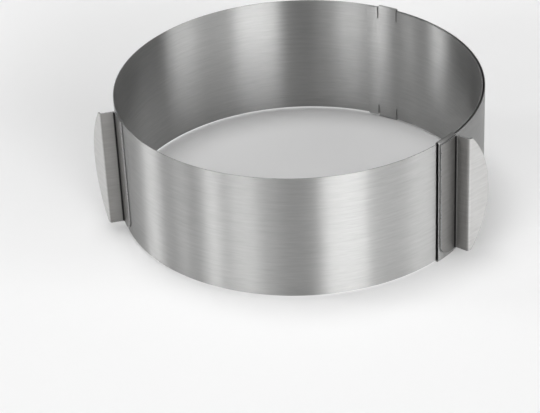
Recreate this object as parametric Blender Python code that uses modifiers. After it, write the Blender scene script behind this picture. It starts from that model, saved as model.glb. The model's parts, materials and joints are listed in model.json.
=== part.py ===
"""Adjustable cake ring: a springy stainless strip rolled into an overlapping ring, with two handles.

The strip winds in by a layer a turn. Its outer end is hooked over the inner layer and its inner end over
the outer layer, at both rims, so the two slide round each other when the handles are pushed together or
pulled apart. The sheet is divided across into short stiff segments, hinged edge to edge, so that the ring
can close and open over its whole range of sizes.
"""

import math

import bmesh
import bpy
from mathutils import Matrix, Vector

MM = 0.001
RIGHT_ANGLE = math.pi / 2
FULL_TURN = 2 * math.pi

# Strip, with its radius to the middle of the sheet, at the middle of its length
RING_RADIUS = 119.8 * MM
STRIP_LENGTH = 984.2 * MM
STRIP_HEIGHT = 85.0 * MM
STRIP_SHEET = 0.5 * MM
LAYER_PITCH = 1.5 * MM
OUTER_END_ANGLE = math.radians(313.3)

# Guide hooks, folded out of the strip's ends between relief slits
HOOK_CLEARANCE = 0.4 * MM
HOOK_LEG = 5.0 * MM
HOOK_FOLD_STEPS = 5
OUTER_HOOK_LENGTH = 16.0 * MM
INNER_HOOK_LENGTH = 13.6 * MM
INNER_TAIL_LENGTH = 8.6 * MM
SLIT_WIDTH = 0.8 * MM
SLIT_DEPTH = 8.0 * MM
TAIL_CORNER_RADIUS = 3.0 * MM
TAIL_CORNER_STEPS = 4

# Stiff segments that the strip is divided into, each end one long enough for its hooks
SEGMENT_COUNT = 38
ROOT_SEGMENT = 19
SEGMENT_FACETS = 10
SEGMENT_GAP = 0.3 * MM
OUTER_END_MARGIN = 9.1 * MM
INNER_END_MARGIN = 2.9 * MM
OUTER_END_LENGTH = OUTER_HOOK_LENGTH + SLIT_WIDTH + OUTER_END_MARGIN
INNER_END_LENGTH = INNER_TAIL_LENGTH + INNER_HOOK_LENGTH + SLIT_WIDTH + INNER_END_MARGIN
SEGMENT_LENGTH = (STRIP_LENGTH - OUTER_END_LENGTH - INNER_END_LENGTH) / (SEGMENT_COUNT - 2)

# Handles, each one plate bent to a Z: a seat on the strip, a web and a D-shaped lip
HANDLE_SHEET = 1.0 * MM
HANDLE_SEAT_GAP = 0.3 * MM
HANDLE_SEAT_WIDTH = 14.2 * MM
HANDLE_DEPTH = 9.7 * MM
HANDLE_BEND_RADIUS = 1.5 * MM
HANDLE_TOP_DROP = 0.3 * MM
HANDLE_BOTTOM_RISE = 2.4 * MM
LIP_WIDTH = 16.0 * MM
LIP_END_WIDTH = 1.2 * MM
LIP_LEAN = math.radians(12)
SEAT_CORNER_WIDTH = 10.0 * MM
SEAT_CORNER_HEIGHT = 8.0 * MM
RIGHT_HANDLE_INSET = 1.2 * MM
LEFT_HANDLE_INSET = 0.6 * MM
SEAT_FACETS = 5
BEND_STEPS = 4
LIP_FACETS = 4
HANDLE_ROWS = 20

STEEL_COLOUR = (0.62, 0.62, 0.61, 1.0)
STEEL_ROUGHNESS = 0.32
HANDLE_ROUGHNESS = 0.26


def radius_at(place):
    """Radius of the sheet's middle at a length along the strip, counted from its outer end."""
    return RING_RADIUS + LAYER_PITCH * (STRIP_LENGTH / 2 - place) / (FULL_TURN * RING_RADIUS)


def edge_place(index):
    """Length along the strip at which a segment starts; one past the last is the strip's inner end."""
    if index == 0:
        return 0
    if index == SEGMENT_COUNT:
        return STRIP_LENGTH
    return OUTER_END_LENGTH + (index - 1) * SEGMENT_LENGTH


def segment_radius(index):
    """Each segment is one round arc, with the strip's radius at its own middle."""
    return radius_at((edge_place(index) + edge_place(index + 1)) / 2)


def arc_point(radius, length):
    """Point at a length along an arc that leaves the origin along +X and curves to +Y."""
    angle = length / radius
    return Vector((radius * math.sin(angle), radius * (1 - math.cos(angle)), 0))


def joint_frame(index):
    """Place and turn of the edge where segment `index` starts, about the ring's axis."""
    start_radius = radius_at(0)
    wind_in = math.atan(LAYER_PITCH / (FULL_TURN * start_radius))
    frame = Matrix.Rotation(OUTER_END_ANGLE, 4, "Z") @ Matrix.Translation((start_radius, 0, 0))
    frame @= Matrix.Rotation(RIGHT_ANGLE + wind_in, 4, "Z")
    for passed in range(index):
        radius = segment_radius(passed)
        length = edge_place(passed + 1) - edge_place(passed)
        frame @= Matrix.Translation(arc_point(radius, length)) @ Matrix.Rotation(length / radius, 4, "Z")
    return frame


def hinge_edge(index):
    """The edge of a segment that it turns on: the one nearer to the root segment."""
    return index if index >= ROOT_SEGMENT else index + 1


def segment_span(index):
    """Start and end of a segment's sheet, as lengths from its hinge, clear of its neighbours."""
    hinge = edge_place(hinge_edge(index))
    first = edge_place(index) - hinge + (SEGMENT_GAP / 2 if index > 0 else 0)
    last = edge_place(index + 1) - hinge - (SEGMENT_GAP / 2 if index < SEGMENT_COUNT - 1 else 0)
    return first, last


def even_lengths(first, last, facets):
    return [first + (last - first) * step / facets for step in range(facets + 1)]


def row_of_vertices(mesh, points):
    row = [mesh.verts.new(point) for point in points]
    for left, right in zip(row, row[1:]):
        mesh.edges.new((left, right))
    return row


def extend_row(mesh, row, points):
    """Extrude a row of edges and move the new row to its points."""
    edges = [mesh.edges.get((left, right)) for left, right in zip(row, row[1:])]
    made = bmesh.ops.extrude_edge_only(mesh, edges=edges)["geom"]
    copies = {item for item in made if isinstance(item, bmesh.types.BMVert)}
    new_row = []
    for vertex, point in zip(row, points):
        linked = [edge.other_vert(vertex) for edge in vertex.link_edges]
        copy = next(other for other in linked if other in copies)
        copy.co = point
        new_row.append(copy)
    return new_row


def steel(name, roughness):
    material = bpy.data.materials.new(name)
    material.use_nodes = True
    shader = material.node_tree.nodes["Principled BSDF"]
    shader.inputs["Base Color"].default_value = STEEL_COLOUR
    shader.inputs["Metallic"].default_value = 1.0
    shader.inputs["Roughness"].default_value = roughness
    return material


def sheet_object(name, mesh, thickness, roughness, collection):
    """An open surface given its thickness, half to each side."""
    bmesh.ops.recalc_face_normals(mesh, faces=mesh.faces)
    data = bpy.data.meshes.new(name)
    mesh.to_mesh(data)
    mesh.free()
    data.materials.append(steel(name + "_steel", roughness))
    part = bpy.data.objects.new(name, data)
    collection.objects.link(part)
    solid = part.modifiers.new("Sheet", "SOLIDIFY")
    solid.thickness = thickness
    solid.offset = 0
    solid.use_even_offset = True
    return part


def hook_profile(side):
    """Fold and leg of a hook past the rim, as (across, beyond) lengths; side +1 folds to the inside.

    The leg clears the far face of the layer that the hook holds.
    """
    fold_radius = (LAYER_PITCH + STRIP_SHEET + HOOK_CLEARANCE) / 2
    profile = []
    for step in range(1, HOOK_FOLD_STEPS + 1):
        angle = math.pi * step / HOOK_FOLD_STEPS
        across = fold_radius * (1 - math.cos(angle))
        profile.append((side * across, fold_radius * math.sin(angle)))
    profile.append((side * 2 * fold_radius, -HOOK_LEG))
    return profile


def sheet_point(radius, length, inward, height):
    """Point at a length along a segment's arc, moved towards the ring's axis and up."""
    angle = length / radius
    point = arc_point(radius, length)
    point += inward * Vector((-math.sin(angle), math.cos(angle), 0))
    point.z = height
    return point


def hooked_lengths(index):
    """Lengths across a hooked end segment, and which of them bound its hook and its slits."""
    first, last = segment_span(index)
    if index == 0:
        hook = (first, first + OUTER_HOOK_LENGTH)
    else:
        hook_end = last - INNER_TAIL_LENGTH
        hook = (hook_end - INNER_HOOK_LENGTH, hook_end)
    stops = [first]
    slits = []
    if hook[0] > first:
        slits.append((hook[0] - SLIT_WIDTH, hook[0]))
    slits.append((hook[1], hook[1] + SLIT_WIDTH))
    for slit in slits:
        stops += [end for end in slit if end not in stops]
    stops += [hook[0]] if hook[0] not in stops else []
    stops.append(last)
    stops.sort()
    lengths = [stops[0]]
    for start, end in zip(stops, stops[1:]):
        facets = max(1, round((end - start) * SEGMENT_FACETS / SEGMENT_LENGTH))
        lengths += even_lengths(start, end, facets)[1:]
    return lengths, hook, slits


def between(value, span):
    return span[0] < value < span[1]


def strip_segment(index, collection):
    """One stiff segment of the strip, with the hooks if it is one of the strip's ends."""
    radius = segment_radius(index)
    first, last = segment_span(index)
    ends = (0, SEGMENT_COUNT - 1)
    lengths, hook, slits = even_lengths(first, last, SEGMENT_FACETS), None, []
    heights = [0, STRIP_HEIGHT]
    if index in ends:
        lengths, hook, slits = hooked_lengths(index)
        heights = [0, SLIT_DEPTH, STRIP_HEIGHT - SLIT_DEPTH, STRIP_HEIGHT]
    mesh = bmesh.new()
    rows = [row_of_vertices(mesh, [sheet_point(radius, along, 0, heights[0]) for along in lengths])]
    for height in heights[1:]:
        points = [sheet_point(radius, along, 0, height) for along in lengths]
        rows.append(extend_row(mesh, rows[-1], points))
    if index in ends:
        cut_slits(mesh, rows, lengths, slits)
        fold_hook(mesh, rows[0], lengths, hook, radius, 0, -1, index)
        fold_hook(mesh, rows[-1], lengths, hook, radius, STRIP_HEIGHT, 1, index)
    if index == SEGMENT_COUNT - 1:
        corners = [rows[0][-1], rows[-1][-1]]
        bmesh.ops.bevel(mesh, geom=corners, offset=TAIL_CORNER_RADIUS, segments=TAIL_CORNER_STEPS,
                        profile=0.5, affect="VERTICES")
    return sheet_object(f"strip_{index + 1:02d}", mesh, STRIP_SHEET, STEEL_ROUGHNESS, collection)


def cut_slits(mesh, rows, lengths, slits):
    """Remove the sheet between a hook and the rest of the strip, in from the top and bottom rims."""
    gone = []
    for column, (start, end) in enumerate(zip(lengths, lengths[1:])):
        if any(between((start + end) / 2, slit) for slit in slits):
            for lower, upper in ((rows[0], rows[1]), (rows[2], rows[3])):
                corners = {lower[column], lower[column + 1], upper[column], upper[column + 1]}
                gone += [face for face in mesh.faces if set(face.verts) == corners]
    bmesh.ops.delete(mesh, geom=gone, context="FACES")


def fold_hook(mesh, rim, lengths, hook, radius, rim_height, upwards, index):
    """Fold the sheet between a hook's ends over the rim, inwards at the outer end, else outwards."""
    side = 1 if index == 0 else -1
    columns = [column for column, along in enumerate(lengths) if hook[0] <= along <= hook[1]]
    row = [rim[column] for column in columns]
    for across, beyond in hook_profile(side):
        height = rim_height + upwards * beyond
        points = [sheet_point(radius, lengths[column], across, height) for column in columns]
        row = extend_row(mesh, row, points)


def turn_path(path, heading, radius, angle, steps):
    """Carry a plan path round a bend; a positive angle turns left."""
    side = 1 if angle > 0 else -1
    centre = path[-1] + side * radius * Vector((-math.sin(heading), math.cos(heading)))
    spoke = path[-1] - centre
    for step in range(1, steps + 1):
        path.append(centre + Matrix.Rotation(angle * step / steps, 2) @ spoke)
    return heading + angle


def handle_path(seat_radius, lip_width):
    """Plan of a handle's plate, from its seat's free edge, along +X with the strip on the left."""
    curve = [arc_point(seat_radius, along) for along in even_lengths(0, HANDLE_SEAT_WIDTH, SEAT_FACETS)]
    path = [point.xy for point in curve]
    heading = HANDLE_SEAT_WIDTH / seat_radius
    heading = turn_path(path, heading, HANDLE_BEND_RADIUS, -RIGHT_ANGLE, BEND_STEPS)
    web = HANDLE_DEPTH - 2 * HANDLE_BEND_RADIUS
    path.append(path[-1] + web * Vector((math.cos(heading), math.sin(heading))))
    heading = turn_path(path, heading, HANDLE_BEND_RADIUS, RIGHT_ANGLE - LIP_LEAN, BEND_STEPS)
    along_lip = Vector((math.cos(heading), math.sin(heading)))
    path += [path[-1] + part * along_lip for part in even_lengths(0, lip_width, LIP_FACETS)[1:]]
    return path


def handle_rows(seat_radius):
    """Rows of a handle from its bottom to its top, closer together near the ends."""
    low = HANDLE_BOTTOM_RISE
    high = STRIP_HEIGHT - HANDLE_TOP_DROP
    half = (high - low) / 2
    bow_depth = LIP_WIDTH - LIP_END_WIDTH
    bow_radius = (half * half + bow_depth * bow_depth) / (2 * bow_depth)
    rows = []
    for step in range(HANDLE_ROWS + 1):
        from_middle = half * math.sin(math.pi * (step / HANDLE_ROWS - 0.5))
        bow = math.sqrt(bow_radius ** 2 - from_middle ** 2) - (bow_radius - bow_depth)
        above = from_middle + half
        cut = max(0, 1 - above / SEAT_CORNER_HEIGHT)
        seat_cut = SEAT_CORNER_WIDTH * (1 - math.sqrt(1 - cut * cut))
        path = handle_path(seat_radius, LIP_END_WIDTH + bow)
        share_kept = 1 - seat_cut / HANDLE_SEAT_WIDTH
        for place in range(SEAT_FACETS):
            from_root = HANDLE_SEAT_WIDTH * (1 - place / SEAT_FACETS) * share_kept
            path[place] = arc_point(seat_radius, HANDLE_SEAT_WIDTH - from_root).xy
        rows.append([Vector((point.x, point.y, low + above)) for point in path])
    return rows


def handle(name, index, free_edge, direction, collection):
    """A handle whose seat starts at a length along the strip and runs along it, or back for -1."""
    radius = segment_radius(index)
    seat_radius = radius + STRIP_SHEET / 2 + HANDLE_SEAT_GAP + HANDLE_SHEET / 2
    along = free_edge - edge_place(hinge_edge(index))
    mesh = bmesh.new()
    rows = handle_rows(seat_radius)
    row = row_of_vertices(mesh, rows[0])
    for points in rows[1:]:
        row = extend_row(mesh, row, points)
    outward = seat_radius - radius
    place = Matrix.Translation(sheet_point(radius, along, -outward, 0))
    place @= Matrix.Rotation(along / radius, 4, "Z")
    place @= Matrix.Scale(direction, 4, (1, 0, 0))
    bmesh.ops.transform(mesh, matrix=place, verts=mesh.verts)
    return sheet_object(name, mesh, HANDLE_SHEET, HANDLE_ROUGHNESS, collection)


def carry(part, carrier, frame, carrier_frame):
    part.parent = carrier
    part.matrix_local = carrier_frame.inverted() @ frame


def build_strip(collection, ring_axis):
    """The segments, each carried by the next one towards the root segment."""
    segments = [strip_segment(index, collection) for index in range(SEGMENT_COUNT)]
    frames = [joint_frame(hinge_edge(index)) for index in range(SEGMENT_COUNT)]
    carry(segments[ROOT_SEGMENT], ring_axis, frames[ROOT_SEGMENT], Matrix.Identity(4))
    for index in range(ROOT_SEGMENT + 1, SEGMENT_COUNT):
        carry(segments[index], segments[index - 1], frames[index], frames[index - 1])
    for index in range(ROOT_SEGMENT - 1, -1, -1):
        carry(segments[index], segments[index + 1], frames[index], frames[index + 1])
    return segments


def centre_on_base(parts, ring_axis):
    """Move the whole ring so that its box stands on Z = 0, centred on the origin."""
    bpy.context.view_layer.update()
    graph = bpy.context.evaluated_depsgraph_get()
    corners = []
    for part in parts:
        shape = part.evaluated_get(graph)
        corners += [shape.matrix_world @ Vector(corner) for corner in shape.bound_box]
    low = [min(corner[axis] for corner in corners) for axis in range(3)]
    high = [max(corner[axis] for corner in corners) for axis in range(3)]
    middle = Vector(((low[0] + high[0]) / 2, (low[1] + high[1]) / 2, low[2]))
    ring_axis.location = -middle


def build():
    for old in list(bpy.data.objects):
        bpy.data.objects.remove(old, do_unlink=True)
    collection = bpy.data.collections.new("adjustable_cake_ring")
    bpy.context.scene.collection.children.link(collection)
    ring_axis = bpy.data.objects.new("ring_axis", None)
    collection.objects.link(ring_axis)
    segments = build_strip(collection, ring_axis)
    right = handle("handle_right", 0, RIGHT_HANDLE_INSET, 1, collection)
    left_free_edge = edge_place(ROOT_SEGMENT + 1) - LEFT_HANDLE_INSET
    left = handle("handle_left", ROOT_SEGMENT, left_free_edge, -1, collection)
    right.parent = segments[0]
    left.parent = segments[ROOT_SEGMENT]
    centre_on_base(segments + [left, right], ring_axis)
    bpy.context.view_layer.update()


build()
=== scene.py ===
"""Looks of an adjustable cake ring: a sprung stainless strip with hooked ends and two bent plate handles.

The strip is dressed in seamless bands. Each runs from the middle of one stiff segment of the frame to the
middle of the next, across the hinge between them.
"""

import json
import math

import bmesh
import bpy
from bpy.props import FloatProperty, FloatVectorProperty, IntProperty, PointerProperty
from mathutils import Matrix, Vector


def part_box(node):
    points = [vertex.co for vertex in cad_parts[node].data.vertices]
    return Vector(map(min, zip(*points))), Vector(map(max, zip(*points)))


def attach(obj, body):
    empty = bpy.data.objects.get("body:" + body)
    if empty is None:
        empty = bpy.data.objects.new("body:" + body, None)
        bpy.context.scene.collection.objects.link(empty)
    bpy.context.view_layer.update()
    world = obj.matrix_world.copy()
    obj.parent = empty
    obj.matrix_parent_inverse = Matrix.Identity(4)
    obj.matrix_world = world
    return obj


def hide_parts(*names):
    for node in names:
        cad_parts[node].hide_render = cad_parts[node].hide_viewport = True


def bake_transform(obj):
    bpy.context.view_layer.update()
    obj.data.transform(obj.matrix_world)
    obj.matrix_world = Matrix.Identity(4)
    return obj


bl_info = {
    "name": "Adjustable Cake Ring",
    "version": (1, 0, 0),
    "blender": (4, 5, 0),
    "location": "3D View > Sidebar > Cake Ring",
    "description": "Builds the sheet, the handles and the studio of an adjustable cake ring",
    "category": "Object",
}

MM = 0.001
FULL_TURN = 2 * math.pi
RIGHT_ANGLE = math.pi / 2
UP = Vector((0, 0, 1))

# How far a vertex may be from a place and still be taken to be there
SLACK = 0.001 * MM

# Number from 0 of the segment that stands still, with the ring_size hinge at its end
ROOT_SEGMENT = 19
ROOT_BODY = f"strip_{ROOT_SEGMENT + 1:02d}"

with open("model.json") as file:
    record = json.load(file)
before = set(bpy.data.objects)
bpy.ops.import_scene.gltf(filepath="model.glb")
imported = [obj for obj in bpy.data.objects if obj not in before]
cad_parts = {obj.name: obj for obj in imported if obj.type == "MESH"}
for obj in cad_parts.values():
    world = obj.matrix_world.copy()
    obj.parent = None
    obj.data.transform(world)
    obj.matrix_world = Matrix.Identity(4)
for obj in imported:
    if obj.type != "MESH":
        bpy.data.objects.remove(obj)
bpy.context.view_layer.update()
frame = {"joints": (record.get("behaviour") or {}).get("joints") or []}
STRIP_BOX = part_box(ROOT_BODY)
RING_HINGE = next(joint["pos_m"] for joint in frame["joints"] if joint["name"] == "ring_size")

# Numbers of faces round a hook's fold, down its leg, round cut corners, and along a handle's flats
FOLD_STEPS = 12
LEG_STEPS = 3
LEG_CORNER_STEPS = 4
TAIL_CORNER_STEPS = 8
SEAT_COLUMNS = 12
WEB_COLUMNS = 4
LIP_COLUMNS = 8

# How dense each layer of the grain is along and across it, as shares of the material's own numbers
GRAIN_SHARES = ((1.0, 1.0), (1.6, 0.45), (0.5, 0.2))

# Shares of the second layer in the relief and of the third in the strokes
RELIEF_SHARE = 0.45
STROKES_SHARE = 0.5

# Detail of all the noises, and roughness of the grain's
NOISE_DETAIL = 2.0
GRAIN_NOISE_ROUGHNESS = 0.6

# How the grain shows in the steel: depth of its relief, its mean shade, and how much it smooths and roughens
GRAIN_RELIEF = 0.01 * MM
GRAIN_SHADE = 0.99
GRAIN_SMOOTHS = 0.08
GRAIN_ROUGHENS = 0.09

# Share of the fold's painted shade line over which it fades, and shares of a bend at which the web's painted
# shade turns to the lip's satin colour
FOLD_FADE_SHARE = 1 / 6
WEB_END_SHARE = 0.7
LIP_START_SHARE = 0.3

# Noise scales, shades and roughness of the cut edges' marks and the floor's tooth
CUT_MARKS = 900.0
CUT_SHADES = (0.85, 1.15)
CUT_ROUGHNESS = (0.26, 0.42)
FLOOR_TOOTH = 400.0
FLOOR_SHADES = (0.995, 1.0)
FLOOR_ROUGHNESS = 0.9

# The range that a noise mostly keeps to, and the numbers of the colour sockets on a Mix node
NOISE_RANGE = (0.3, 0.7)
MIX_COLOUR_A = 6
MIX_COLOUR_B = 7
MIX_COLOUR_RESULT = 2

# Rise of a direction at which the walls start and are whole, and the same for the ceiling
WALL_FOOT = (0.05, 0.12)
CEILING_FOOT = (0.32, 0.5)
FOOT_BRIGHTNESS = 0.9
WALL_BRIGHTNESS = 0.1
CEILING_BRIGHTNESS = 0.33

# Soft panels that stand round the ring: azimuth and width in degrees, and brightness
SOFT_PANELS = (
    (170.5, 11, 9.2), (-165.5, 7, 4.2), (-144.7, 9, 10.6), (-125.5, 17, 7.4), (-111, 12, 2.2),
    (-67, 26, 12.0), (-42, 27, 3.6), (-16, 22, 6.8),
)

# Degrees over which a panel fades to either side of its edge
PANEL_EDGE = 2.5


def length_size(name, description, default):
    """A property for a length in metres."""
    return FloatProperty(name=name, description=description, default=default, min=0.0,
                         unit="LENGTH", precision=5)


def angle_size(name, description, degrees):
    """A property for an angle."""
    return FloatProperty(name=name, description=description, default=math.radians(degrees), unit="ROTATION")


def tint(name, description, colour):
    """A property for a colour."""
    return FloatVectorProperty(name=name, description=description, default=colour, size=3, min=0.0,
                               max=1.0, subtype="COLOR")


class StripSizes(bpy.types.PropertyGroup):
    """Sizes of the strip and of the hooks that are folded out of its ends."""

    radius: length_size("Ring radius", "Radius to the middle of the sheet, half way along it", 119.8 * MM)
    length: length_size("Strip length", "Length of the whole strip", 984.2 * MM)
    height: length_size("Strip height", "Height of the strip", STRIP_BOX[1].z - STRIP_BOX[0].z)
    sheet: length_size("Sheet", "Thickness of the strip's sheet", 0.5 * MM)
    pitch: length_size("Layer pitch", "How far the strip winds in over one turn", 1.5 * MM)
    outer_end: angle_size("Outer end", "Direction of the strip's outer end from the ring's axis", 313.3)
    segments: IntProperty(name="Segments", description="Stiff segments that the frame has", default=38, min=3)
    end_length: length_size("End segments", "Length of the first and the last segment", 25.9 * MM)
    outer_hook: length_size("Outer hook", "Length of the hooks at the outer end", 16.0 * MM)
    inner_hook: length_size("Inner hook", "Length of the hooks at the inner end", 13.6 * MM)
    tail: length_size("Tail", "Plain sheet past the inner hooks", 8.6 * MM)
    hook_leg: length_size("Hook leg", "How far a hook reaches back past the rim", 5.0 * MM)
    hook_radius: length_size("Hook fold", "Half the width of a hook's fold, between sheet middles", 1.2 * MM)
    hook_rise: length_size("Hook rise", "Height of a hook's fold, from the rim to its middle", 1.141 * MM)
    slit_width: length_size("Slit width", "Width of the relief slits beside the hooks", 0.8 * MM)
    slit_depth: length_size("Slit depth", "Depth of the relief slits", 8.0 * MM)
    tail_corner: length_size("Tail corner", "Radius of the tail's corners", 3.0 * MM)
    leg_corner: length_size("Leg corner", "Radius of the corners of a hook's leg", 0.8 * MM)
    edge_round: length_size("Edge rounding", "Rounding of the sheet's cut edges", 0.09 * MM)
    outer_seam: length_size("Outer seam", "From the outer end's first hinge back to its seam", 4.6 * MM)
    inner_seam: length_size("Inner seam", "From the inner end's last hinge on to its seam", 1.4 * MM)
    facet: length_size("Facet", "Width of the faces along the strip", 1.1 * MM)
    seam_column: length_size("Seam column", "Width of the narrow faces beside a seam", 0.05 * MM)


class HandleSizes(bpy.types.PropertyGroup):
    """Sizes of the two handles, each one plate with a seat, a web and a D-shaped lip."""

    sheet: length_size("Plate", "Thickness of a handle's plate", 1.0 * MM)
    seat_gap: length_size("Seat gap", "Gap between the seat and the strip", 0.15 * MM)
    seat_width: length_size("Seat width", "Width of the seat along the strip", 14.2 * MM)
    depth: length_size("Depth", "How far the plate stands out from the seat", 9.85 * MM)
    bend_radius: length_size("Bend radius", "Radius of the plate's bends, to its middle", 1.5 * MM)
    top_drop: length_size("Top drop", "How far the plate ends below the top rim", 0.3 * MM)
    bottom_rise: length_size("Bottom rise", "How far the plate ends above the bottom rim", 2.4 * MM)
    lip_width: length_size("Lip width", "Width of the lip at its middle", 16.0 * MM)
    lip_end_width: length_size("Lip end width", "Width of the lip at its top and bottom", 1.2 * MM)
    lip_lean: angle_size("Lip lean", "How far the lip leans out from the strip", 12)
    corner_width: length_size("Corner width", "Width of the seat's rounded lower corner", 10.0 * MM)
    corner_height: length_size("Corner height", "Height of the seat's rounded lower corner", 8.0 * MM)
    right_inset: length_size("Right inset", "From the strip's outer end to the right seat", 1.2 * MM)
    left_inset: length_size("Left inset", "From the segment's end to the left seat", 0.6 * MM)
    edge_round: length_size("Edge rounding", "Rounding of the plate's edges", 0.2 * MM)
    # The fold's line is painted shade: a near-black line painted on the shaded crease between seat and web,
    # wider on the left handle
    fold_shade_inset: length_size("Fold inset", "How far a fold's unpolished line reaches on the seat", 0.88 * MM)
    right_fold_shade: length_size("Right fold", "Width of the unpolished line in the right handle's fold", 2.7 * MM)
    left_fold_shade: length_size("Left fold", "Width of the unpolished line in the left handle's fold", 3.4 * MM)
    rows: IntProperty(name="Rows", description="Faces up a handle", default=56, min=8)
    bend_steps: IntProperty(name="Bend steps", description="Faces round a bend", default=10, min=3)


class SteelFinish(bpy.types.PropertyGroup):
    """Colours of the steel."""

    strip_colour: tint("Strip", "Colour of the brushed strip", (0.42, 0.42, 0.416))
    handle_colour: tint("Lips", "Colour of the handles' satin lips", (0.57, 0.567, 0.56))
    # Painted shade: seats and webs are painted darker than the lips, the seat lightest at its free edge
    seat_shade_colour: tint("Seats", "Colour of the handles' dull seats at their free edge", (0.29, 0.286, 0.28))
    web_shade_colour: tint("Webs", "Colour of the handles' dull webs", (0.215, 0.212, 0.206))
    # Painted shade: the near-black colour painted in the crease between seat and web
    fold_shade_colour: tint("Fold", "Colour of the unpolished line in the fold beside the seat", (0.02, 0.02, 0.02))
    cut_colour: tint("Cut edges", "Colour of the sheared edges", (0.42, 0.42, 0.42))


class StudioSettings(bpy.types.PropertyGroup):
    """Sizes of the studio, and where its camera and its lamp are."""

    focal_length: FloatProperty(name="Focal length", description="Camera lens in millimetres", default=132.26)
    distance: length_size("Distance", "From the camera to the point that it looks at", 1.2431)
    look_at: FloatVectorProperty(name="Look at", description="Point in the middle of the picture",
                                 default=(-0.016136, -0.079839, 0.0425), size=3, subtype="TRANSLATION")
    elevation: angle_size("Elevation", "How far the camera looks down", 32.115)
    roll: angle_size("Roll", "Turn of the camera about its own line of sight", -2.771)
    floor_colour: tint("Floor", "Colour of the plain floor", (0.88, 0.88, 0.88))
    floor_size: length_size("Floor size", "Width of the floor", 30.0)
    lamp_power: FloatProperty(name="Lamp", description="Power of the soft lamp in watts", default=45.0)
    lamp_size: length_size("Lamp size", "Width of the soft lamp", 1.6)
    lamp_place: FloatVectorProperty(name="Lamp place", description="Where the soft lamp hangs",
                                    default=(-0.35, 0.5, 3.6), size=3, subtype="TRANSLATION")


class Arc:
    """One segment of the strip, a round arc from its start frame, with X along the strip and Y inwards."""

    def __init__(self, first, last, radius, start):
        self.first = first
        self.last = last
        self.radius = radius
        self.start = start

    @property
    def centre(self):
        return self.start @ Vector((0, self.radius, 0))

    @property
    def middle(self):
        return (self.first + self.last) / 2

    def frame_at(self, place):
        angle = (place - self.first) / self.radius
        along = Matrix.Translation((self.radius * math.sin(angle), self.radius * (1 - math.cos(angle)), 0))
        return self.start @ along @ Matrix.Rotation(angle, 4, "Z")


def strip_arcs(sizes):
    """The arcs of all the segments from the strip's outer end, on the frame's own hinge line."""
    inner = (sizes.length - 2 * sizes.end_length) / (sizes.segments - 2)
    edges = [0.0] + [sizes.end_length + inner * index for index in range(sizes.segments - 1)] + [sizes.length]

    def radius_at(place):
        return sizes.radius + sizes.pitch * (sizes.length / 2 - place) / (FULL_TURN * sizes.radius)

    start_radius = radius_at(0)
    wind_in = math.atan(sizes.pitch / (FULL_TURN * start_radius))
    start = Matrix.Rotation(sizes.outer_end, 4, "Z") @ Matrix.Translation((start_radius, 0, 0))
    start @= Matrix.Rotation(RIGHT_ANGLE + wind_in, 4, "Z")
    arcs = []
    for first, last in zip(edges, edges[1:]):
        arcs.append(Arc(first, last, radius_at((first + last) / 2), start))
        start = arcs[-1].frame_at(last)
    hinge = arcs[ROOT_SEGMENT + 1].start.translation
    shift = Matrix.Translation((RING_HINGE[0] - hinge.x, RING_HINGE[1] - hinge.y, STRIP_BOX[0].z))
    for arc in arcs:
        arc.start = shift @ arc.start
    return arcs


def seam_places(sizes, arcs):
    """Where the bands meet: mid segment, but clear of the hooks on the strip's end segments."""
    places = [arc.middle for arc in arcs]
    places[0] = arcs[0].last - sizes.outer_seam
    places[-1] = arcs[-1].first + sizes.inner_seam
    return places


class Sheet:
    """An open surface under construction, whose vertices know their place along it and up it.

    Its frame stands at the newest column, with X along the sheet.
    """

    def __init__(self, start, heights, place):
        self.mesh = bmesh.new()
        self.along = self.mesh.verts.layers.float.new("along")
        self.up = self.mesh.verts.layers.float.new("up")
        column = [self.mesh.verts.new(start @ Vector((0, 0, height))) for height in heights]
        for vertex, height in zip(column, heights):
            vertex[self.along] = place
            vertex[self.up] = height
        self.edges = [self.mesh.edges.new(pair) for pair in zip(column, column[1:])]
        self.frame = start
        self.place = place

    def note(self, vertices, length):
        self.place += length
        for vertex in vertices:
            vertex[self.along] = self.place

    def turn(self, centre, angle, length, columns):
        """Sweep the last column round an upright line, in even columns over a length of the sheet."""
        for _ in range(columns):
            made = bmesh.ops.spin(self.mesh, geom=self.edges, cent=centre, axis=UP, angle=angle / columns,
                                  steps=1)["geom_last"]
            self.edges = [item for item in made if isinstance(item, bmesh.types.BMEdge)]
            self.note([item for item in made if isinstance(item, bmesh.types.BMVert)], length / columns)
        about = Matrix.Translation(centre)
        self.frame = about @ Matrix.Rotation(angle, 4, "Z") @ about.inverted() @ self.frame

    def follow(self, arc, last, columns):
        """Sweep the last column along one of the strip's arcs to a place on it."""
        length = last - self.place
        self.turn(arc.centre, length / arc.radius, length, columns)

    def straight(self, length, side, columns):
        """Carry the last column straight on, along the frame's X or against it."""
        step = side * length / columns * self.frame.col[0].to_3d()
        for _ in range(columns):
            made = bmesh.ops.extrude_edge_only(self.mesh, edges=self.edges)["geom"]
            moved = [item for item in made if isinstance(item, bmesh.types.BMVert)]
            self.edges = between(self.mesh, moved)
            bmesh.ops.translate(self.mesh, verts=moved, vec=step)
            self.note(moved, length / columns)
        self.frame = Matrix.Translation(step * columns) @ self.frame

    def span(self, face):
        """Middle of a face, as its place along the sheet and its height up it."""
        count = len(face.verts)
        return (sum(vertex[self.along] for vertex in face.verts) / count,
                sum(vertex[self.up] for vertex in face.verts) / count)


def between(mesh, vertices):
    """The edges that join two of these vertices."""
    known = set(vertices)
    return [edge for edge in mesh.edges if edge.verts[0] in known and edge.verts[1] in known]


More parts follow.
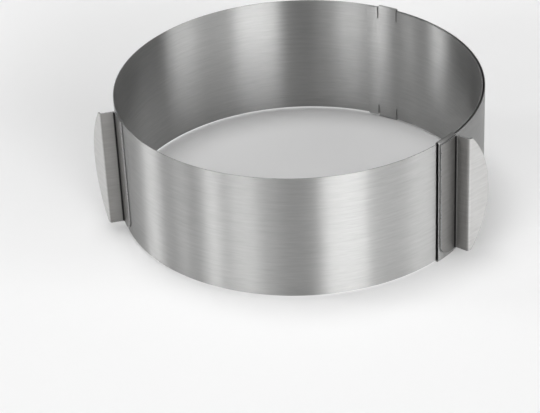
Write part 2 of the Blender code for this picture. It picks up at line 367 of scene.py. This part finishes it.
def finish_sheet(sheet, name, thickness, edge_round, seams, materials):
    """Give the sheet its UV map, its thickness and its rounded cut edges; seams are left sharp and square."""
    mesh = sheet.mesh
    bmesh.ops.recalc_face_normals(mesh, faces=mesh.faces)
    grain = mesh.loops.layers.uv.new("Grain")
    weight = mesh.edges.layers.float.new("bevel_weight_edge")
    for face in mesh.faces:
        face.smooth = True
        for loop in face.loops:
            loop[grain].uv = (loop.vert[sheet.along], loop.vert[sheet.up])
    for edge in mesh.edges:
        if edge.is_boundary:
            at_seam = any(all(abs(vertex[sheet.along] - seam) < SLACK for vertex in edge.verts)
                          for seam in seams)
            edge[weight] = 0.0 if at_seam else 1.0
            edge.smooth = not at_seam
    data = bpy.data.meshes.new(name)
    mesh.to_mesh(data)
    mesh.free()
    for material in materials:
        data.materials.append(material)
    piece = bpy.data.objects.new(name, data)
    bpy.context.scene.collection.objects.link(piece)
    solid = piece.modifiers.new("Thickness", "SOLIDIFY")
    solid.thickness = thickness
    solid.offset = 0
    solid.use_even_offset = True
    solid.material_offset_rim = 1
    rounding = piece.modifiers.new("Deburred edges", "BEVEL")
    rounding.limit_method = "WEIGHT"
    rounding.width = edge_round
    rounding.segments = 2
    rounding.use_clamp_overlap = False
    rounding.harden_normals = True
    return piece


def new_node(tree, kind, place, **options):
    """Add a node at a place in the tree, and set its options."""
    node = tree.nodes.new(kind)
    node.location = place
    for key, value in options.items():
        setattr(node, key, value)
    return node


def fill(node, **values):
    """Set a node's input sockets, each by its name with underscores for spaces."""
    for key, value in values.items():
        node.inputs[key.replace("_", " ")].default_value = value


def times(tree, place, value, factor):
    """A value times a factor, which is another socket or a number."""
    node = new_node(tree, "ShaderNodeMath", place, operation="MULTIPLY")
    tree.links.new(value, node.inputs[0])
    if isinstance(factor, float):
        node.inputs[1].default_value = factor
    else:
        tree.links.new(factor, node.inputs[1])
    return node.outputs[0]


def object_noise(tree, scale):
    """A noise that is fixed to the object."""
    place = new_node(tree, "ShaderNodeTexCoord", (-900, 0))
    noise = new_node(tree, "ShaderNodeTexNoise", (-650, 0))
    fill(noise, Scale=scale, Detail=NOISE_DETAIL)
    tree.links.new(place.outputs["Object"], noise.inputs["Vector"])
    return noise.outputs["Fac"]


def spread(tree, place, noise, low, high):
    """A noise stretched over a range of values."""
    node = new_node(tree, "ShaderNodeMapRange", place)
    fill(node, From_Min=NOISE_RANGE[0], From_Max=NOISE_RANGE[1], To_Min=low, To_Max=high)
    tree.links.new(noise, node.inputs["Value"])
    return node.outputs["Result"]


def shaded(tree, place, colour, shade):
    """A colour, given as numbers or as a socket, made lighter and darker by a value."""
    mix = new_node(tree, "ShaderNodeMix", place, data_type="RGBA", blend_type="MULTIPLY")
    mix.inputs["Factor"].default_value = 1.0
    if isinstance(colour, bpy.types.NodeSocket):
        tree.links.new(colour, mix.inputs[MIX_COLOUR_A])
    else:
        mix.inputs[MIX_COLOUR_A].default_value = (*colour, 1.0)
    tree.links.new(shade, mix.inputs[MIX_COLOUR_B])
    return mix.outputs[MIX_COLOUR_RESULT]


def new_material(name):
    """A new material with its node tree and its shader."""
    material = bpy.data.materials.new(name)
    material.use_nodes = True
    return material, material.node_tree, material.node_tree.nodes["Principled BSDF"]


def grain_group():
    """Brushed grain: hair lines that run along U, over longer and softer strokes."""
    name = "Brushed grain"
    if name in bpy.data.node_groups:
        return bpy.data.node_groups[name]
    tree = bpy.data.node_groups.new(name, "ShaderNodeTree")
    for socket, default in (("Along", 70.0), ("Across", 2600.0)):
        made = tree.interface.new_socket(socket, in_out="INPUT", socket_type="NodeSocketFloat")
        made.default_value = default
    for socket in ("Strokes", "Height"):
        tree.interface.new_socket(socket, in_out="OUTPUT", socket_type="NodeSocketFloat")
    entry = new_node(tree, "NodeGroupInput", (-900, 0))
    leave = new_node(tree, "NodeGroupOutput", (700, 0))
    place = new_node(tree, "ShaderNodeUVMap", (-900, 200), uv_map="Grain")
    split = new_node(tree, "ShaderNodeSeparateXYZ", (-700, 200))
    tree.links.new(place.outputs["UV"], split.inputs["Vector"])
    layers = []
    for number, (along_share, across_share) in enumerate(GRAIN_SHARES):
        row = -100 - 200 * number
        density = times(tree, (-900, row), entry.outputs["Along"], along_share)
        along = times(tree, (-700, row), split.outputs["X"], density)
        density = times(tree, (-700, row - 100), entry.outputs["Across"], across_share)
        across = times(tree, (-500, row), split.outputs["Y"], density)
        join = new_node(tree, "ShaderNodeCombineXYZ", (-300, row))
        tree.links.new(along, join.inputs["X"])
        tree.links.new(across, join.inputs["Y"])
        noise = new_node(tree, "ShaderNodeTexNoise", (-100, row))
        fill(noise, Scale=1.0, Detail=NOISE_DETAIL, Roughness=GRAIN_NOISE_ROUGHNESS)
        tree.links.new(join.outputs[0], noise.inputs["Vector"])
        layers.append(noise.outputs["Fac"])
    for output, first, second, share, row in (("Height", layers[0], layers[1], RELIEF_SHARE, -100),
                                              ("Strokes", layers[1], layers[2], STROKES_SHARE, -300)):
        both = new_node(tree, "ShaderNodeMix", (150, row))
        both.inputs["Factor"].default_value = share
        tree.links.new(first, both.inputs["A"])
        tree.links.new(second, both.inputs["B"])
        tree.links.new(both.outputs["Result"], leave.inputs[output])
    return tree


def brushed_steel(name, colour, roughness, anisotropy, across, bump, contrast, tones=()):
    """Stainless steel brushed along U, with the hair lines in its colour, roughness and relief.

    The grain makes the colour lighter and darker by the share that the contrast gives. Tones, as places
    along U with their colours, take the place of the one colour.
    """
    if name in bpy.data.materials:
        return bpy.data.materials[name]
    material, tree, shader = new_material(name)
    material.diffuse_color = (*colour, 1.0)
    fill(shader, Metallic=1.0, Anisotropic=anisotropy, Anisotropic_Rotation=0.25)
    grain = new_node(tree, "ShaderNodeGroup", (-900, 0))
    grain.node_tree = grain_group()
    fill(grain, Across=across)
    shade = spread(tree, (-650, 200), grain.outputs["Strokes"], GRAIN_SHADE - contrast,
                   GRAIN_SHADE + contrast)
    base = shaded(tree, (-400, 200), tones_along(tree, tones) if tones else colour, shade)
    tree.links.new(base, shader.inputs["Base Color"])
    rough = spread(tree, (-400, -50), grain.outputs["Height"], roughness - GRAIN_SMOOTHS,
                   roughness + GRAIN_ROUGHENS)
    tree.links.new(rough, shader.inputs["Roughness"])
    relief = new_node(tree, "ShaderNodeBump", (-400, -300))
    fill(relief, Strength=bump, Distance=GRAIN_RELIEF)
    tree.links.new(grain.outputs["Height"], relief.inputs["Height"])
    tree.links.new(relief.outputs["Normal"], shader.inputs["Normal"])
    tangent = new_node(tree, "ShaderNodeTangent", (-400, -500), direction_type="UV_MAP", uv_map="Grain")
    tree.links.new(tangent.outputs["Tangent"], shader.inputs["Tangent"])
    return material


def tones_along(tree, tones):
    """A colour that changes with the place along U, from a list of places and colours."""
    place = new_node(tree, "ShaderNodeUVMap", (-1500, 500), uv_map="Grain")
    split = new_node(tree, "ShaderNodeSeparateXYZ", (-1300, 500))
    tree.links.new(place.outputs["UV"], split.inputs["Vector"])
    share = new_node(tree, "ShaderNodeMapRange", (-1100, 500))
    length = tones[-1][0]
    fill(share, From_Max=length)
    tree.links.new(split.outputs["X"], share.inputs["Value"])
    ramp = new_node(tree, "ShaderNodeValToRGB", (-900, 500))
    stops = ramp.color_ramp.elements
    stops.remove(stops[1])
    for number, (along, colour) in enumerate(tones):
        stop = stops[0] if number == 0 else stops.new(along / length)
        stop.position = along / length
        stop.color = (*colour, 1.0)
    tree.links.new(share.outputs["Result"], ramp.inputs["Fac"])
    return ramp.outputs["Color"]


def cut_steel(colour):
    """The sheared and deburred edge of a sheet, with the shear's fine marks."""
    name = "Cut edge steel"
    if name in bpy.data.materials:
        return bpy.data.materials[name]
    material, tree, shader = new_material(name)
    fill(shader, Metallic=1.0)
    marks = object_noise(tree, CUT_MARKS)
    shade = spread(tree, (-400, 150), marks, *CUT_SHADES)
    tree.links.new(shaded(tree, (-200, 150), colour, shade), shader.inputs["Base Color"])
    tree.links.new(spread(tree, (-400, -100), marks, *CUT_ROUGHNESS), shader.inputs["Roughness"])
    return material


def strip_materials(scene):
    """The strip's steels: its brushed faces and its cut edges."""
    finish = scene.cake_ring_steel
    return (brushed_steel("Brushed strip steel", finish.strip_colour, roughness=0.4, anisotropy=1.0,
                          across=2600.0, bump=0.25, contrast=0.1),
            cut_steel(finish.cut_colour))


def handle_materials(scene, name, line):
    """A handle's steels: painted shade darkens the seat and web up to the lip, with a painted shade line of
    this width in the seat's fold.
    """
    finish = scene.cake_ring_steel
    sizes = scene.cake_ring_handles
    bend = sizes.bend_radius * RIGHT_ANGLE
    # Painted shade: a near-black line painted in the seat's fold, fading in and out at its edges
    fold_shade_start = sizes.seat_width - sizes.fold_shade_inset
    fold_shade_end = fold_shade_start + line
    fade = line * FOLD_FADE_SHARE
    lip_start = sizes.seat_width + sizes.depth - 2 * sizes.bend_radius + 2 * bend
    # Painted shade: the seat darkens from its free edge towards the fold, and the web stays dark until the
    # lip's bend
    tones = ((0, finish.seat_shade_colour),
             (fold_shade_start, finish.web_shade_colour), (fold_shade_start + fade, finish.fold_shade_colour),
             (fold_shade_end - fade, finish.fold_shade_colour), (fold_shade_end, finish.web_shade_colour),
             (lip_start - WEB_END_SHARE * bend, finish.web_shade_colour),
             (lip_start - LIP_START_SHARE * bend, finish.handle_colour))
    return (brushed_steel(name, finish.handle_colour, roughness=0.45, anisotropy=0.5, across=2000.0,
                          bump=0.3, contrast=0.11, tones=tones),
            cut_steel(finish.cut_colour))


class CAKE_RING_OT_bands(bpy.types.Operator):
    """Build the strip's bands, each reaching across one hinge of the frame"""

    bl_idname = "cake_ring.bands"
    bl_label = "Strip bands"

    def execute(self, context):
        sizes = context.scene.cake_ring_strip
        arcs = strip_arcs(sizes)
        seams = seam_places(sizes, arcs)
        materials = strip_materials(context.scene)
        for index, (arc, following) in enumerate(zip(arcs, arcs[1:])):
            first, last = seams[index:index + 2]
            sheet = Sheet(arc.frame_at(first), (0, sizes.height), first)
            sheet.follow(arc, first + sizes.seam_column, 1)
            sheet.follow(arc, arc.last, columns_for(sizes, arc.last - first))
            sheet.follow(following, last - sizes.seam_column, columns_for(sizes, last - arc.last))
            sheet.follow(following, last, 1)
            name = f"band_{index + 1:02d}"
            piece = finish_sheet(sheet, name, sizes.sheet, sizes.edge_round, (first, last), materials)
            bodies = (f"strip_{index + 1:02d}", f"strip_{index + 2:02d}")
            reach = min(arc.last - first, last - arc.last)
            arc.frame_at(arc.last - reach).translation
            following.frame_at(arc.last + reach).translation
            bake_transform(piece)
            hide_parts(bodies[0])
        return {"FINISHED"}


def columns_for(sizes, length):
    """How many faces a length of the strip has."""
    return max(1, round(length / sizes.facet))


def hooked_end(sizes, arc, first, last, hook, inward, name, materials):
    """An end of the strip with a hook folded over each rim, inwards if inward is 1 and outwards if -1."""
    heights = (0, sizes.slit_depth, sizes.height - sizes.slit_depth, sizes.height)
    seam = last if first == arc.first else first
    slits = [(hook[0] - sizes.slit_width, hook[0])] if hook[0] > arc.first else []
    slits += [(hook[1], hook[1] + sizes.slit_width)]
    stops = {first, last, hook[0], hook[1]}
    stops.update(end for slit in slits for end in slit)
    stops.add(seam + sizes.seam_column if seam == first else seam - sizes.seam_column)
    stops = sorted(stops)
    sheet = Sheet(arc.frame_at(first), heights, first)
    for start, end in zip(stops, stops[1:]):
        sheet.follow(arc, end, columns_for(sizes, end - start))
    gone = []
    for face in sheet.mesh.faces:
        along, up = sheet.span(face)
        in_slit = any(start < along < end for start, end in slits)
        if in_slit and not heights[1] < up < heights[2]:
            gone.append(face)
    bmesh.ops.delete(sheet.mesh, geom=gone, context="FACES")
    corners = []
    for rim, upwards in ((0, -1), (sizes.height, 1)):
        corners += fold_hook(sheet, sizes, arc, hook, rim, upwards, inward)
    round_corners(sheet, corners, sizes.leg_corner, LEG_CORNER_STEPS)
    if last == arc.last:
        tail = [vertex for vertex in sheet.mesh.verts if vertex.is_boundary
                and abs(vertex[sheet.along] - last) < SLACK and vertex[sheet.up] in (0, sizes.height)]
        round_corners(sheet, tail, sizes.tail_corner, TAIL_CORNER_STEPS)
    return finish_sheet(sheet, name, sizes.sheet, sizes.edge_round, (seam,), materials)


def round_corners(sheet, corners, radius, steps):
    """Round off these corners of the sheet's outline."""
    bmesh.ops.bevel(sheet.mesh, geom=corners, offset=radius, segments=steps, profile=0.5, affect="VERTICES",
                    material=-1)


def fold_hook(sheet, sizes, arc, hook, rim, upwards, inward):
    """Fold the sheet over a rim between a hook's ends and run its leg back; returns the leg's corners."""
    mesh = sheet.mesh

    def on_rim(vertex):
        return abs(vertex[sheet.up] - rim) < SLACK and hook[0] - SLACK < vertex[sheet.along] < hook[1] + SLACK

    edges = [edge for edge in mesh.edges if all(on_rim(vertex) for vertex in edge.verts)]
    profile = []
    for step in range(1, FOLD_STEPS + 1):
        angle = math.pi * step / FOLD_STEPS
        across = inward * sizes.hook_radius * (1 - math.cos(angle))
        profile.append((across, sizes.hook_rise * math.sin(angle), sizes.hook_radius * angle))
    fold_length = sizes.hook_radius * math.pi
    for step in range(1, LEG_STEPS + 1):
        leg = sizes.hook_leg * step / LEG_STEPS
        profile.append((inward * 2 * sizes.hook_radius, -leg, fold_length + leg))
    across_before, beyond_before = 0, 0
    for across, beyond, travelled in profile:
        made = bmesh.ops.extrude_edge_only(mesh, edges=edges)["geom"]
        moved = [item for item in made if isinstance(item, bmesh.types.BMVert)]
        edges = between(mesh, moved)
        grown = (arc.radius - across) / (arc.radius - across_before)
        space = Matrix.Translation(-arc.centre)
        bmesh.ops.scale(mesh, verts=moved, vec=(grown, grown, 1), space=space)
        bmesh.ops.translate(mesh, verts=moved, vec=UP * upwards * (beyond - beyond_before))
        for vertex in moved:
            vertex[sheet.up] = rim + upwards * travelled
        across_before, beyond_before = across, beyond
    ends = [vertex for edge in edges for vertex in edge.verts]
    return [vertex for vertex in set(ends) if ends.count(vertex) == 1]


class CAKE_RING_OT_hooked_ends(bpy.types.Operator):
    """Build the strip's two ends, with the hooks that hold the layers together"""

    bl_idname = "cake_ring.hooked_ends"
    bl_label = "Hooked ends"

    def execute(self, context):
        sizes = context.scene.cake_ring_strip
        arcs = strip_arcs(sizes)
        materials = strip_materials(context.scene)
        seams = seam_places(sizes, arcs)
        arc = arcs[0]
        hook = (arc.first, arc.first + sizes.outer_hook)
        outer = hooked_end(sizes, arc, arc.first, seams[0], hook, 1, "outer_end", materials)
        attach(outer, "strip_01")
        arc = arcs[-1]
        hook = (arc.last - sizes.tail - sizes.inner_hook, arc.last - sizes.tail)
        inner = hooked_end(sizes, arc, seams[-1], arc.last, hook, -1, "inner_end", materials)
        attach(inner, f"strip_{len(arcs):02d}")
        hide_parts(f"strip_{len(arcs):02d}")
        return {"FINISHED"}


def handle_sheet(sizes, strip, arc, place, side):
    """A handle's plate from its seat's free edge; side is 1 along the strip and -1 back along it."""
    low = sizes.bottom_rise
    half = (strip.height - sizes.top_drop - low) / 2
    heights = [low + half + half * math.sin(math.pi * (row / sizes.rows - 0.5))
               for row in range(sizes.rows + 1)]
    outward = strip.sheet / 2 + sizes.seat_gap + sizes.sheet / 2
    sheet = Sheet(arc.frame_at(place) @ Matrix.Translation((0, -outward, 0)), heights, 0)
    seat_angle = side * sizes.seat_width / (arc.radius + outward)
    sheet.turn(arc.centre, seat_angle, sizes.seat_width, SEAT_COLUMNS)
    round_seat_corner(sheet, sizes, arc, seat_angle, low)
    bend = sizes.bend_radius
    sheet.turn(sheet.frame @ Vector((0, -bend, 0)), -side * RIGHT_ANGLE, bend * RIGHT_ANGLE, sizes.bend_steps)
    sheet.straight(sizes.depth - 2 * bend, side, WEB_COLUMNS)
    open_angle = RIGHT_ANGLE - sizes.lip_lean
    sheet.turn(sheet.frame @ Vector((0, bend, 0)), side * open_angle, bend * open_angle, sizes.bend_steps)
    lip_start = sheet.place
    sheet.straight(sizes.lip_width, side, LIP_COLUMNS)
    bow_depth = sizes.lip_width - sizes.lip_end_width
    bow_radius = (half * half + bow_depth * bow_depth) / (2 * bow_depth)
    along_lip = side * sheet.frame.col[0].to_3d()
    for vertex in sheet.mesh.verts:
        travel = vertex[sheet.along] - lip_start
        if travel > 0:
            from_middle = vertex[sheet.up] - low - half
            bow = math.sqrt(bow_radius ** 2 - from_middle ** 2) - (bow_radius - bow_depth)
            surplus = travel * (1 - (sizes.lip_end_width + bow) / sizes.lip_width)
            vertex.co -= surplus * along_lip
            vertex[sheet.along] -= surplus
    return sheet


def round_seat_corner(sheet, sizes, arc, seat_angle, low):
    """Draw the seat's free edge in towards its bottom, as a quarter of an oval."""
    about = Matrix.Translation(arc.centre)
    for vertex in sheet.mesh.verts:
        cut = max(0, 1 - (vertex[sheet.up] - low) / sizes.corner_height)
        drawn_in = sizes.corner_width * (1 - math.sqrt(1 - cut * cut))
        moved = drawn_in * (1 - vertex[sheet.along] / sizes.seat_width)
        turned = Matrix.Rotation(seat_angle * moved / sizes.seat_width, 4, "Z")
        vertex.co = about @ turned @ about.inverted() @ vertex.co
        vertex[sheet.along] += moved


class CAKE_RING_OT_handles(bpy.types.Operator):
    """Build the two bent plate handles"""

    bl_idname = "cake_ring.handles"
    bl_label = "Handles"

    def execute(self, context):
        strip = context.scene.cake_ring_strip
        sizes = context.scene.cake_ring_handles
        arcs = strip_arcs(strip)
        root = arcs[ROOT_SEGMENT]
        # Each handle has its own material only for the width of its painted fold shade
        right_steel = handle_materials(context.scene, "Right handle steel", sizes.right_fold_shade)
        left_steel = handle_materials(context.scene, "Left handle steel", sizes.left_fold_shade)
        for name, arc, place, side, body, materials in (
                ("right_handle", arcs[0], sizes.right_inset, 1, "strip_01", right_steel),
                ("left_handle", root, root.last - sizes.left_inset, -1, ROOT_BODY, left_steel)):
            sheet = handle_sheet(sizes, strip, arc, place, side)
            piece = finish_sheet(sheet, name, sizes.sheet, sizes.edge_round, (), materials)
            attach(piece, body)
            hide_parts("handle_right" if side > 0 else "handle_left")
        return {"FINISHED"}


def studio_world():
    """A soft, dim room with bright panels round the ring, over an even band at floor level."""
    world = bpy.data.worlds.new("Soft studio")
    bpy.context.scene.world = world
    world.use_nodes = True
    tree = world.node_tree
    light = tree.nodes["Background"]
    way = new_node(tree, "ShaderNodeTexCoord", (-1300, 0))
    split = new_node(tree, "ShaderNodeSeparateXYZ", (-1100, 0))
    tree.links.new(way.outputs["Generated"], split.inputs["Vector"])
    level = new_node(tree, "ShaderNodeVectorMath", (-1100, 300), operation="MULTIPLY")
    level.inputs[1].default_value = (1, 1, 0)
    tree.links.new(way.outputs["Generated"], level.inputs[0])
    heading = new_node(tree, "ShaderNodeVectorMath", (-900, 300), operation="NORMALIZE")
    tree.links.new(level.outputs["Vector"], heading.inputs[0])
    walls = new_node(tree, "ShaderNodeValue", (-500, 500))
    walls.outputs[0].default_value = WALL_BRIGHTNESS
    total = walls.outputs[0]
    for number, (azimuth, width, brightness) in enumerate(SOFT_PANELS):
        row = 500 + 150 * number
        direction = math.radians(azimuth)
        facing = new_node(tree, "ShaderNodeVectorMath", (-700, row), operation="DOT_PRODUCT")
        tree.links.new(heading.outputs["Vector"], facing.inputs[0])
        facing.inputs[1].default_value = (math.cos(direction), math.sin(direction), 0)
        outside = math.cos(math.radians(width / 2 + PANEL_EDGE))
        inside = math.cos(math.radians(max(width / 2 - PANEL_EDGE, 0)))
        panel = soft_step(tree, (-500, row), facing.outputs["Value"], outside, inside, brightness)
        both = new_node(tree, "ShaderNodeMath", (-300, row), operation="ADD")
        tree.links.new(total, both.inputs[0])
        tree.links.new(panel, both.inputs[1])
        total = both.outputs[0]
    foot = new_node(tree, "ShaderNodeMix", (-50, 0))
    foot.inputs["A"].default_value = FOOT_BRIGHTNESS
    tree.links.new(soft_step(tree, (-700, -200), split.outputs["Z"], *WALL_FOOT), foot.inputs["Factor"])
    tree.links.new(total, foot.inputs["B"])
    ceiling = new_node(tree, "ShaderNodeMix", (150, 0))
    ceiling.inputs["B"].default_value = CEILING_BRIGHTNESS
    tree.links.new(soft_step(tree, (-700, -450), split.outputs["Z"], *CEILING_FOOT), ceiling.inputs["Factor"])
    tree.links.new(foot.outputs["Result"], ceiling.inputs["A"])
    tree.links.new(ceiling.outputs["Result"], light.inputs["Color"])


def soft_step(tree, place, value, low, high, height=1.0):
    """A step that rises softly from 0 to its height between two values."""
    step = new_node(tree, "ShaderNodeMapRange", place, interpolation_type="SMOOTHSTEP")
    fill(step, From_Min=low, From_Max=high, To_Max=height)
    tree.links.new(value, step.inputs["Value"])
    return step.outputs["Result"]


def floor_material(colour):
    """Matt floor paper with a very faint tooth."""
    material, tree, shader = new_material("Plain floor")
    fill(shader, Specular_IOR_Level=0.0, Roughness=FLOOR_ROUGHNESS)
    shade = new_node(tree, "ShaderNodeMapRange", (-400, 0))
    fill(shade, To_Min=FLOOR_SHADES[0], To_Max=FLOOR_SHADES[1])
    tree.links.new(object_noise(tree, FLOOR_TOOTH), shade.inputs["Value"])
    tree.links.new(shaded(tree, (-200, 0), colour, shade.outputs["Result"]), shader.inputs["Base Color"])
    return material


class CAKE_RING_OT_studio(bpy.types.Operator):
    """Set up the plain floor, the soft light and the camera"""

    bl_idname = "cake_ring.studio"
    bl_label = "Studio"

    def execute(self, context):
        settings = context.scene.cake_ring_studio
        mesh = bmesh.new()
        bmesh.ops.create_grid(mesh, x_segments=1, y_segments=1, size=settings.floor_size / 2)
        data = bpy.data.meshes.new("floor")
        mesh.to_mesh(data)
        mesh.free()
        data.materials.append(floor_material(settings.floor_colour))
        floor = bpy.data.objects.new("floor", data)
        context.scene.collection.objects.link(floor)
        studio_world()
        hang_lamp(context.scene, settings)
        place_camera(context.scene, settings)
        context.scene.view_settings.view_transform = "Standard"
        return {"FINISHED"}


def hang_lamp(scene, settings):
    """Hang one soft lamp over the ring, turned to the origin."""
    light = bpy.data.lights.new("soft_lamp", "AREA")
    light.shape = "DISK"
    light.size = settings.lamp_size
    light.energy = settings.lamp_power
    lamp = bpy.data.objects.new("soft_lamp", light)
    lamp.location = settings.lamp_place
    lamp.rotation_euler = (-lamp.location).to_track_quat("-Z", "Y").to_euler()
    scene.collection.objects.link(lamp)


def place_camera(scene, settings):
    """Stand the camera back from the point that it looks at, along its own line of sight."""
    lens = bpy.data.cameras.new("camera")
    lens.lens = settings.focal_length
    lens.sensor_width = 36.0
    lens.clip_start = 0.01
    camera = bpy.data.objects.new("camera", lens)
    turn = Matrix.Rotation(RIGHT_ANGLE - settings.elevation, 4, "X") @ Matrix.Rotation(settings.roll, 4, "Z")
    back = Matrix.Translation((0, 0, settings.distance))
    camera.matrix_world = Matrix.Translation(Vector(settings.look_at)) @ turn @ back
    scene.collection.objects.link(camera)
    scene.camera = camera


class CAKE_RING_PT_panel(bpy.types.Panel):
    """The cake ring's pieces, in the sidebar"""

    bl_idname = "CAKE_RING_PT_panel"
    bl_label = "Cake Ring"
    bl_space_type = "VIEW_3D"
    bl_region_type = "UI"
    bl_category = "Cake Ring"

    def draw(self, context):
        for operator in OPERATORS:
            self.layout.operator(operator.bl_idname)
        for owner in OWNERS:
            settings = getattr(context.scene, owner)
            box = self.layout.box()
            for key in settings.bl_rna.properties.keys():
                if key not in ("rna_type", "name"):
                    box.prop(settings, key)


OPERATORS = (CAKE_RING_OT_bands, CAKE_RING_OT_hooked_ends, CAKE_RING_OT_handles, CAKE_RING_OT_studio)
OWNERS = {
    "cake_ring_strip": StripSizes,
    "cake_ring_handles": HandleSizes,
    "cake_ring_steel": SteelFinish,
    "cake_ring_studio": StudioSettings,
}


def register():
    for group in OWNERS.values():
        bpy.utils.register_class(group)
    for owner, group in OWNERS.items():
        setattr(bpy.types.Scene, owner, PointerProperty(type=group))
    for operator in OPERATORS:
        bpy.utils.register_class(operator)
    bpy.utils.register_class(CAKE_RING_PT_panel)


def unregister():
    bpy.utils.unregister_class(CAKE_RING_PT_panel)
    for operator in reversed(OPERATORS):
        bpy.utils.unregister_class(operator)
    for owner in OWNERS:
        delattr(bpy.types.Scene, owner)
    for group in OWNERS.values():
        bpy.utils.unregister_class(group)


def main():
    register()
    bpy.ops.cake_ring.bands()
    bpy.ops.cake_ring.hooked_ends()
    bpy.ops.cake_ring.handles()
    bpy.ops.cake_ring.studio()
    bpy.context.view_layer.update()


if __name__ == "__main__":
    main()
